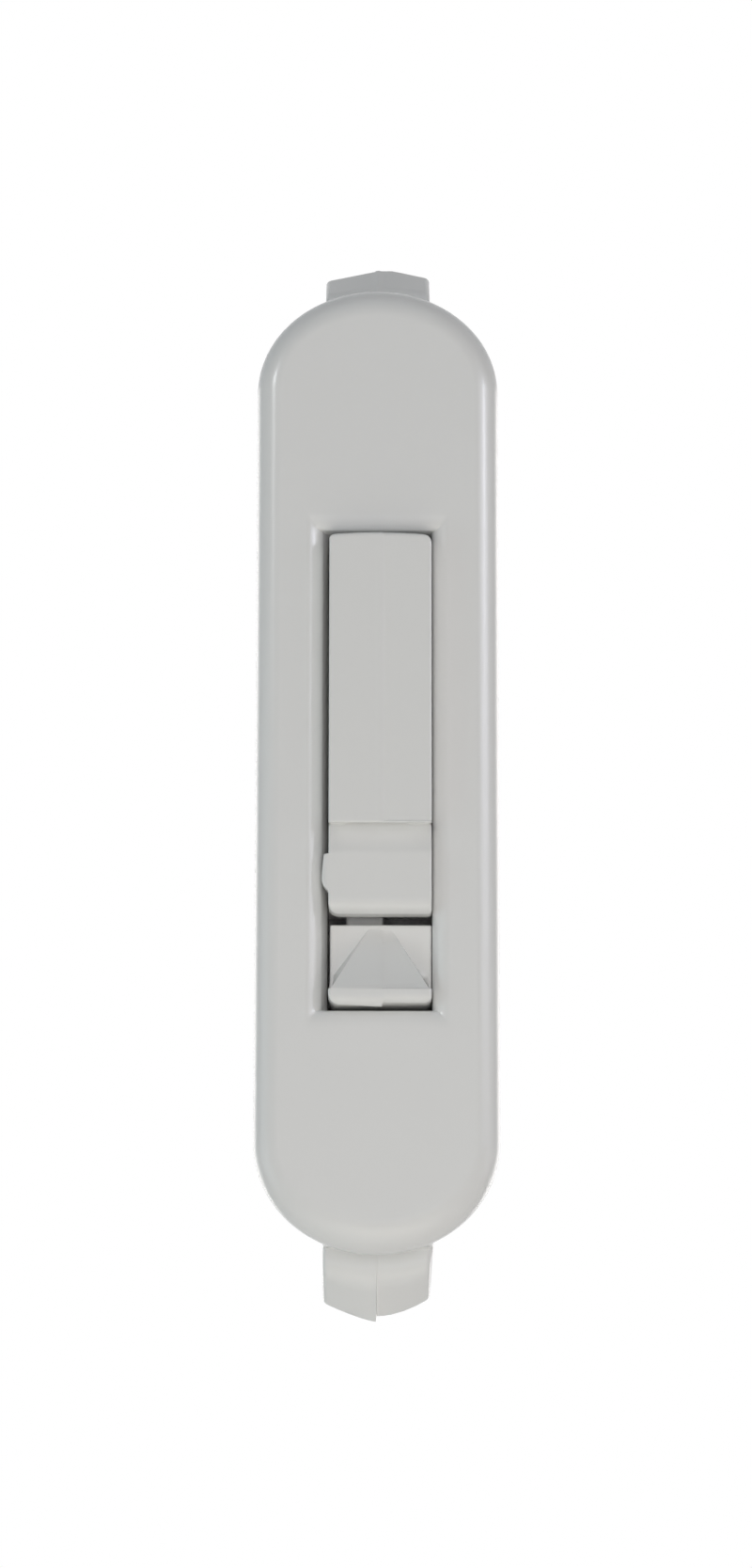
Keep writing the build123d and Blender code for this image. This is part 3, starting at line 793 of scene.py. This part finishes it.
def button_skin(sizes):
    """Button as level sections stacked along Z.

    A section is a channel: its front goes from one low flank up to the ramp, with a small step near the
    middle, and down to the other flank, and two walls run back from it. The ramp's half width and height
    change evenly from its foot to the bar, the right flank's outer edge sinks towards the bar, and the
    lowest sections are closed to make the end wall. Last, the bar's lower edge gets a step near the middle.
    """
    low, high = BUTTON_LOW[2] + sizes.end_gap, BUTTON_LOW[2] + sizes.length
    bar = FRONT - sizes.bar_rise
    bar_high = BUTTON_LOW[2] + sizes.bar_length
    foot = high - sizes.ramp_start
    flank = -sizes.flank_height
    bar_foot = bar_high + BUTTON_DRAFT
    ramp_path = rounded_path(
        [(low, flank), (low, bar), (bar_high, bar), (foot, flank), (high, flank), (high, 0)],
        [sizes.bar_round, sizes.ramp_crease, sizes.ramp_crease, sizes.top_round],
    )
    flank_path = rounded_path(
        [(low, flank), (low, bar), (bar_high, bar), (bar_foot, flank), (high, flank), (high, 0)],
        [sizes.bar_round, BAR_EDGE, FLANK_CREASE, sizes.top_round],
    )
    z = np.concatenate([
        ramp_path[:, 0],
        flank_path[:, 0],
        low + corner_stations(sizes.bar_corner_left),
        low + corner_stations(sizes.bar_corner_right),
        [low + sizes.wall, low + sizes.wall + STEP],
        np.linspace(bar_high, foot, 12),
    ])
    z = np.unique(np.round(z, 7))
    ramp = np.interp(z, ramp_path[:, 0], ramp_path[:, 1])
    side = np.interp(z, flank_path[:, 0], flank_path[:, 1])
    radius = sizes.side_round
    stand_in = sizes.flank_inset * np.clip((z - bar_high) / INSET_RUN, 0, 1)
    right = LEAN + HALF_WIDTH - corner_drop(z - low, sizes.bar_corner_right)
    left = LEAN - HALF_WIDTH + corner_drop(z - low, sizes.bar_corner_left) + stand_in
    inner = np.where(z > low + sizes.wall + STEP / 2, flank + sizes.plate, sizes.skirt - STEP)

    half = np.interp(z, [bar_high, foot], [HALF_WIDTH - radius, sizes.ramp_width / 2])
    sunk = side + sizes.flank_sink * np.interp(z, [bar_high, bar_foot, foot], [0, 1, 0])
    height = np.maximum(side - ramp, 0)
    ramp_left = np.maximum(LEAN - half, left + radius)
    ramp_right = np.minimum(LEAN + half, right - radius)
    wall_left = np.clip(LEAN - half - sizes.slant_left * height, left + radius, ramp_left)
    wall_right = np.clip(LEAN + half + sizes.slant_right * height, ramp_right, right - radius)
    parting = LEAN + sizes.parting_shift
    lower = ramp + np.minimum(sizes.parting_step, np.abs(side - ramp))
    columns = edge_columns(left + radius, side + radius, radius, 180, 270)
    columns += [(wall_left, side), (ramp_left, ramp), (parting - sizes.parting_half, ramp)]
    columns += [(parting + sizes.parting_half, lower), (ramp_right, lower), (wall_right, side)]
    columns += edge_columns(right - radius, sunk + radius, radius, 270, 360)
    columns += [(right, sizes.skirt), (right - sizes.wall, sizes.skirt), (right - sizes.wall, inner)]
    columns += [(left + sizes.wall, inner), (left + sizes.wall, sizes.skirt), (left, sizes.skirt)]
    loops = stack_sections(columns, z)
    aside = (loops[:, :, 0] - LEAN) / HALF_WIDTH
    near_bar = 1 - np.clip((loops[:, :, 2] - low) / sizes.bar_length, 0, 1)
    left_half = loops[:, :, 0] < parting
    lip = np.where(left_half, np.clip(1 + aside, 0, 1) * sizes.mismatch, RIGHT_LIP * sizes.mismatch)
    in_front = loops[:, :, 1] < 0
    loops[:, :, 2] -= np.where(in_front, near_bar * lip, 0)
    return loft(loops)


def rod_skin(radius, y, z, reach):
    """Round rod between the button's walls: a circle in Y and Z carried along X."""
    turn = np.linspace(0, 2 * np.pi, 24, endpoint=False)
    outline = np.stack([y + radius * np.cos(turn), z + radius * np.sin(turn)], axis=1)
    return loft(carry_across(outline, LEAN + np.array([-reach, reach]), np.zeros(2)))


# Finishes

def add_node(tree, kind, place, **values):
    """Node with its inputs or settings given by name."""
    node = tree.nodes.new(kind)
    node.location = place
    for key, value in values.items():
        if key in node.inputs:
            node.inputs[key].default_value = value
        else:
            setattr(node, key, value)
    return node


def noise(tree, coordinates, place, scale, detail):
    """Noise on the piece's own coordinates, with its scale in waves per metre."""
    node = add_node(tree, "ShaderNodeTexNoise", place, Scale=scale, Detail=detail)
    tree.links.new(coordinates, node.inputs["Vector"])
    return node.outputs["Fac"]


def spread_values(tree, factor, place, low, high):
    """Noise spread over a range of values."""
    node = add_node(tree, "ShaderNodeMapRange", place)
    node.inputs["From Min"].default_value = NOISE_RANGE[0]
    node.inputs["From Max"].default_value = NOISE_RANGE[1]
    node.inputs["To Min"].default_value = low
    node.inputs["To Max"].default_value = high
    tree.links.new(factor, node.inputs["Value"])
    return node.outputs["Result"]


def bumped(tree, height, place, strength, distance, under=None):
    """Bump from a height, laid over another normal where one is given."""
    node = add_node(tree, "ShaderNodeBump", place, Strength=strength, Distance=distance)
    tree.links.new(height, node.inputs["Height"])
    if under is not None:
        tree.links.new(under, node.inputs["Normal"])
    return node.outputs["Normal"]


def start_material(name):
    """Empty material with its shader and object coordinates."""
    material = bpy.data.materials.new(name)
    material.use_nodes = True
    tree = material.node_tree
    shader = tree.nodes["Principled BSDF"]
    coordinates = add_node(tree, "ShaderNodeTexCoord", (-1300, 0)).outputs["Object"]
    return material, tree, shader, coordinates


def shade_between(tree, factor, place, base, low, high):
    """Colour that goes from low to high times the base with a factor."""
    mix = add_node(tree, "ShaderNodeMix", place, data_type="RGBA")
    colours = [socket for socket in mix.inputs if socket.type == "RGBA"]
    colours[0].default_value = tuple(c * low for c in base) + (1.0,)
    colours[1].default_value = tuple(c * high for c in base) + (1.0,)
    tree.links.new(factor, mix.inputs[0])
    return [socket for socket in mix.outputs if socket.type == "RGBA"][0]


def moulded_plastic(name, base, roughness, peel, grain):
    """Moulded white plastic: faint flow clouds, uneven gloss, orange peel and a fine grain."""
    material, tree, shader, coordinates = start_material(name)
    clouds = noise(tree, coordinates, (-1050, 250), CLOUD_WAVES, 3.0)
    tint = shade_between(tree, clouds, (-500, 300), base, 0.985, 1.015)
    tree.links.new(tint, shader.inputs["Base Color"])
    gloss = noise(tree, coordinates, (-1050, 0), GLOSS_WAVES, 2.0)
    uneven = spread_values(tree, gloss, (-750, 0), 0.85 * roughness, 1.15 * roughness)
    tree.links.new(uneven, shader.inputs["Roughness"])
    skin = noise(tree, coordinates, (-1050, -250), PEEL_WAVES, 1.5)
    fine = noise(tree, coordinates, (-1050, -500), GRAIN_WAVES, 2.0)
    normal = bumped(tree, skin, (-500, -250), peel, PEEL_HEIGHT)
    normal = bumped(tree, fine, (-250, -400), grain, GRAIN_HEIGHT, under=normal)
    tree.links.new(normal, shader.inputs["Normal"])
    shader.inputs["IOR"].default_value = 1.48
    shader.inputs["Specular IOR Level"].default_value = 0.42
    shader.inputs["Subsurface Weight"].default_value = 0.6
    shader.inputs["Subsurface Radius"].default_value = (1.0, 0.9, 0.75)
    shader.inputs["Subsurface Scale"].default_value = 0.9 * MM
    return material


def steel_darkened_as_shade(base):
    """Steel on a dark base colour that serves as painted shade, so the pin shows no glint in the shaded gap
    round it: fine lines along Z and uneven gloss.
    """
    material, tree, shader, coordinates = start_material("steel_darkened_as_shade")
    stretch = add_node(tree, "ShaderNodeMapping", (-1200, -200))
    stretch.inputs["Scale"].default_value = (1.0, 1.0, 0.06)
    tree.links.new(coordinates, stretch.inputs["Vector"])
    lines = noise(tree, stretch.outputs["Vector"], (-1000, -200), LINE_WAVES, 3.0)
    tree.links.new(shade_between(tree, lines, (-500, 200), base, 0.85, 1.1), shader.inputs["Base Color"])
    tree.links.new(spread_values(tree, lines, (-750, -100), 0.35, 0.5), shader.inputs["Roughness"])
    tree.links.new(bumped(tree, lines, (-500, -300), 0.2, GRAIN_HEIGHT), shader.inputs["Normal"])
    shader.inputs["Metallic"].default_value = 1.0
    return material


def bezel_plastic(finishes):
    """Gloss white of the housing."""
    return bpy.data.materials.get("bezel_plastic") or moulded_plastic(
        "bezel_plastic", finishes.bezel_colour, finishes.bezel_roughness, peel=0.7, grain=0.1
    )


def latch_plastic(finishes):
    """Slightly duller white of the latch and the button."""
    return bpy.data.materials.get("latch_plastic") or moulded_plastic(
        "latch_plastic", finishes.latch_colour, finishes.latch_roughness, peel=0.2, grain=0.16
    )


# Stage

def add_lamp(name, azimuth, elevation, distance, size, power, tint, height=None, in_gloss=True):
    """Soft lamp that faces the lock, at degrees to the right of its front and above its level.

    A lamp with a height of its own is a strip that shows in the gloss alone, and a lamp that isn't in the
    gloss only fills.
    """
    light = bpy.data.lights.new(name, "AREA")
    light.shape = "RECTANGLE"
    light.size = size
    light.size_y = height or size
    light.energy = power
    light.color = tint
    lamp = bpy.data.objects.new(name, light)
    bpy.context.scene.collection.objects.link(lamp)
    across, above = np.radians([azimuth, elevation])
    towards = Vector((np.sin(across) * np.cos(above), -np.cos(across) * np.cos(above), np.sin(above)))
    lamp.location = towards * distance
    lamp.visible_camera = False
    lamp.visible_diffuse = height is None
    lamp.visible_glossy = in_gloss
    lamp.rotation_euler = towards.to_track_quat("Z", "Y").to_euler()


def add_floor(settings):
    """Pale floor: a wide grid whose height rises a little with the fourth power of the distance.

    Seen by the camera or in gloss it is lighter than the lamps make it, and it sheds no more light.
    """
    reach = np.linspace(-FLOOR_REACH, FLOOR_REACH, FLOOR_POINTS)
    x, y = np.meshgrid(reach, reach)
    z = settings.floor_height + FLOOR_RISE * (x**2 + y**2) ** 2
    points = np.stack([x, y, z], axis=-1)
    index = np.arange(points[..., 0].size).reshape(x.shape)
    corners = [index[:-1, :-1], index[:-1, 1:], index[1:, 1:], index[1:, :-1]]
    quads = np.stack(corners, axis=-1).reshape(-1, 4)
    mesh = bpy.data.meshes.new("floor")
    mesh.from_pydata(points.reshape(-1, 3).tolist(), [], quads.tolist())
    mesh.shade_smooth()
    material, tree, shader, coordinates = start_material("floor")
    clouds = noise(tree, coordinates, (-1050, 250), FLOOR_WAVES, 3.0)
    tint = shade_between(tree, clouds, (-500, 300), settings.floor_colour, 0.99, 1.01)
    tree.links.new(tint, shader.inputs["Base Color"])
    shader.inputs["Roughness"].default_value = 0.8
    shader.inputs["Emission Color"].default_value = (*(FLOOR_GLOW * c for c in settings.floor_colour), 1.0)
    tree.links.new(seen_directly(tree), shader.inputs["Emission Strength"])
    mesh.materials.append(material)
    floor = bpy.data.objects.new("floor", mesh)
    bpy.context.scene.collection.objects.link(floor)


def seen_directly(tree):
    """One for a camera, glossy or transmitted ray and nought for any other, as the largest of the three."""
    path = add_node(tree, "ShaderNodeLightPath", (-800, -400))
    either = add_node(tree, "ShaderNodeMath", (-600, -400), operation="MAXIMUM")
    tree.links.new(path.outputs["Is Camera Ray"], either.inputs[0])
    tree.links.new(path.outputs["Is Transmission Ray"], either.inputs[1])
    largest = add_node(tree, "ShaderNodeMath", (-400, -400), operation="MAXIMUM")
    tree.links.new(either.outputs[0], largest.inputs[0])
    tree.links.new(path.outputs["Is Glossy Ray"], largest.inputs[1])
    return largest.outputs[0]


def light_the_room(settings):
    """Even room light that camera, glossy and transmitted rays see as plain white."""
    world = bpy.data.worlds.new("room")
    bpy.context.scene.world = world
    world.use_nodes = True
    tree = world.node_tree
    even = tree.nodes["Background"]
    even.inputs["Color"].default_value = (*settings.sky_colour, 1.0)
    even.inputs["Strength"].default_value = settings.sky_strength
    white = add_node(tree, "ShaderNodeBackground", (0, -200), Color=(1, 1, 1, 1), Strength=1.0)
    mix = add_node(tree, "ShaderNodeMixShader", (200, 0))
    tree.links.new(seen_directly(tree), mix.inputs[0])
    tree.links.new(even.outputs[0], mix.inputs[1])
    tree.links.new(white.outputs[0], mix.inputs[2])
    tree.links.new(mix.outputs[0], tree.nodes["World Output"].inputs["Surface"])


def add_camera(settings):
    """Camera below the lock's middle, looking up at its front, with a slight roll."""
    ahead = (CAMERA_AIM - CAMERA_PLACE).normalized()
    right = ahead.cross(Vector((0, 0, 1))).normalized()
    up = right.cross(ahead)
    rolled_right = right * np.cos(CAMERA_ROLL) + up * np.sin(CAMERA_ROLL)
    rolled_up = up * np.cos(CAMERA_ROLL) - right * np.sin(CAMERA_ROLL)
    data = bpy.data.cameras.new("camera")
    data.sensor_fit = "VERTICAL"
    data.sensor_height = 36.0
    data.lens = settings.lens
    data.clip_start = 0.01
    camera = bpy.data.objects.new("camera", data)
    bpy.context.scene.collection.objects.link(camera)
    turn = Matrix((rolled_right, rolled_up, -ahead)).transposed()
    camera.matrix_world = Matrix.Translation(CAMERA_PLACE) @ turn.to_4x4()
    bpy.context.scene.camera = camera


# Operators

class VENTLOCK_OT_bezel(Operator):
    """Add the bezel with its rolled window, pocket and box"""

    bl_idname = "vent_lock.add_bezel"
    bl_label = "Add Bezel"

    def execute(self, context):
        lock = context.scene.vent_lock
        material = bezel_plastic(lock.finishes)
        add_piece("bezel", [bezel_skin(lock.bezel)], "body", "housing", material)
        return {"FINISHED"}


class VENTLOCK_OT_snap_tabs(Operator):
    """Add the two snap tabs that grip the sash wall"""

    bl_idname = "vent_lock.add_snap_tabs"
    bl_label = "Add Snap Tabs"

    def execute(self, context):
        lock = context.scene.vent_lock
        material = bezel_plastic(lock.finishes)
        for name, lower in (("snap_tab_upper", False), ("snap_tab_lower", True)):
            skin = tab_skin(lock.bezel, lock.tab, lower)
            add_piece(name, [skin], "body", "housing", material)
        return {"FINISHED"}


class VENTLOCK_OT_back(Operator):
    """Add the stiffening ribs on the back and the spring's anchor in the pocket"""

    bl_idname = "vent_lock.add_back"
    bl_label = "Add Ribs and Anchor"

    def execute(self, context):
        lock = context.scene.vent_lock
        material = bezel_plastic(lock.finishes)
        add_piece("back_ribs", rib_skins(lock.bezel), "body", "housing", material)
        add_piece("spring_anchor", anchor_skins(lock.bezel), "body", "housing", material)
        return {"FINISHED"}


class VENTLOCK_OT_latch(Operator):
    """Add the latch with its nose, groove, hub, gate and tail"""

    bl_idname = "vent_lock.add_latch"
    bl_label = "Add Latch"

    def execute(self, context):
        lock = context.scene.vent_lock
        material = latch_plastic(lock.finishes)
        skins = [latch_skin(lock.latch), tail_skin(lock.latch), gate_skin(lock.latch)]
        add_piece("latch_moulding", skins, "latch_body", "latch", material)
        return {"FINISHED"}


class VENTLOCK_OT_push_button(Operator):
    """Add the push button with its ramp, bar, rib and bridge"""

    bl_idname = "vent_lock.add_push_button"
    bl_label = "Add Push Button"

    def execute(self, context):
        lock = context.scene.vent_lock
        sizes = lock.button
        reach = HALF_WIDTH - sizes.wall / 2
        rods = [
            rod_skin(sizes.rib_radius, PIVOT_Y - RIB_AHEAD, PIVOT_Z - RIB_BELOW, reach),
            rod_skin(sizes.rib_radius, PIVOT_Y + BRIDGE_BEHIND, PIVOT_Z - BRIDGE_BELOW, reach),
        ]
        material = latch_plastic(lock.finishes)
        skins = [button_skin(sizes)] + rods
        add_piece("button_moulding", skins, "button_body", "push_button", material)
        return {"FINISHED"}


class VENTLOCK_OT_steel(Operator):
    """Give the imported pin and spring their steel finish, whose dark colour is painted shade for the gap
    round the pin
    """

    bl_idname = "vent_lock.finish_steel"
    bl_label = "Finish Steel"

    def execute(self, context):
        material = steel_darkened_as_shade(context.scene.vent_lock.finishes.steel_shade_colour)
        for node in ("pivot_pin", "detent_spring"):
            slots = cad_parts[node].data.materials
            slots.clear()
            slots.append(material)
        return {"FINISHED"}


class VENTLOCK_OT_stage(Operator):
    """Add the floor, the lamps, the room light and the camera"""

    bl_idname = "vent_lock.add_stage"
    bl_label = "Add Stage"

    def execute(self, context):
        settings = context.scene.vent_lock.stage
        context.scene.view_settings.view_transform = "Standard"
        add_floor(settings)
        light_the_room(settings)
        for lamp in LAMPS:
            add_lamp(*lamp)
        add_camera(settings)
        return {"FINISHED"}


class VentLock(PropertyGroup):
    """Everything about the lock that a user may change."""

    bezel: PointerProperty(type=BezelSizes, name="Bezel", description="Sizes of the bezel")
    tab: PointerProperty(type=TabSizes, name="Snap tabs", description="Sizes of the snap tabs")
    latch: PointerProperty(type=LatchSizes, name="Latch", description="Sizes of the latch")
    button: PointerProperty(type=ButtonSizes, name="Push button", description="Sizes of the push button")
    finishes: PointerProperty(type=Finishes, name="Finishes", description="Colours and gloss")
    stage: PointerProperty(type=StageSettings, name="Stage", description="Floor, lamps and camera")


class VENTLOCK_PT_sidebar(Panel):
    """Lists the lock's operators and settings"""

    bl_idname = "VENTLOCK_PT_sidebar"
    bl_label = "Window Vent Lock"
    bl_space_type = "VIEW_3D"
    bl_region_type = "UI"
    bl_category = "Vent Lock"

    def draw(self, context):
        for operator in OPERATORS:
            self.layout.operator(operator.bl_idname)
        lock = context.scene.vent_lock
        for group in (lock.bezel, lock.tab, lock.latch, lock.button, lock.finishes, lock.stage):
            column = self.layout.column(align=True)
            for name in group.__annotations__:
                column.prop(group, name)


OPERATORS = (
    VENTLOCK_OT_bezel,
    VENTLOCK_OT_snap_tabs,
    VENTLOCK_OT_back,
    VENTLOCK_OT_latch,
    VENTLOCK_OT_push_button,
    VENTLOCK_OT_steel,
    VENTLOCK_OT_stage,
)
GROUPS = (BezelSizes, TabSizes, LatchSizes, ButtonSizes, Finishes, StageSettings, VentLock)
CLASSES = GROUPS + OPERATORS + (VENTLOCK_PT_sidebar,)


def register():
    """Make the classes and the scene's settings known to Blender."""
    for item in CLASSES:
        bpy.utils.register_class(item)
    bpy.types.Scene.vent_lock = PointerProperty(type=VentLock)


def unregister():
    """Take the settings and the classes away again."""
    del bpy.types.Scene.vent_lock
    for item in reversed(CLASSES):
        bpy.utils.unregister_class(item)


def main():
    """Build every piece and the stage through the operators."""
    register()
    bpy.ops.vent_lock.add_bezel()
    bpy.ops.vent_lock.add_snap_tabs()
    bpy.ops.vent_lock.add_back()
    bpy.ops.vent_lock.add_latch()
    bpy.ops.vent_lock.add_push_button()
    bpy.ops.vent_lock.finish_steel()
    bpy.ops.vent_lock.add_stage()


if __name__ == "__main__":
    main()
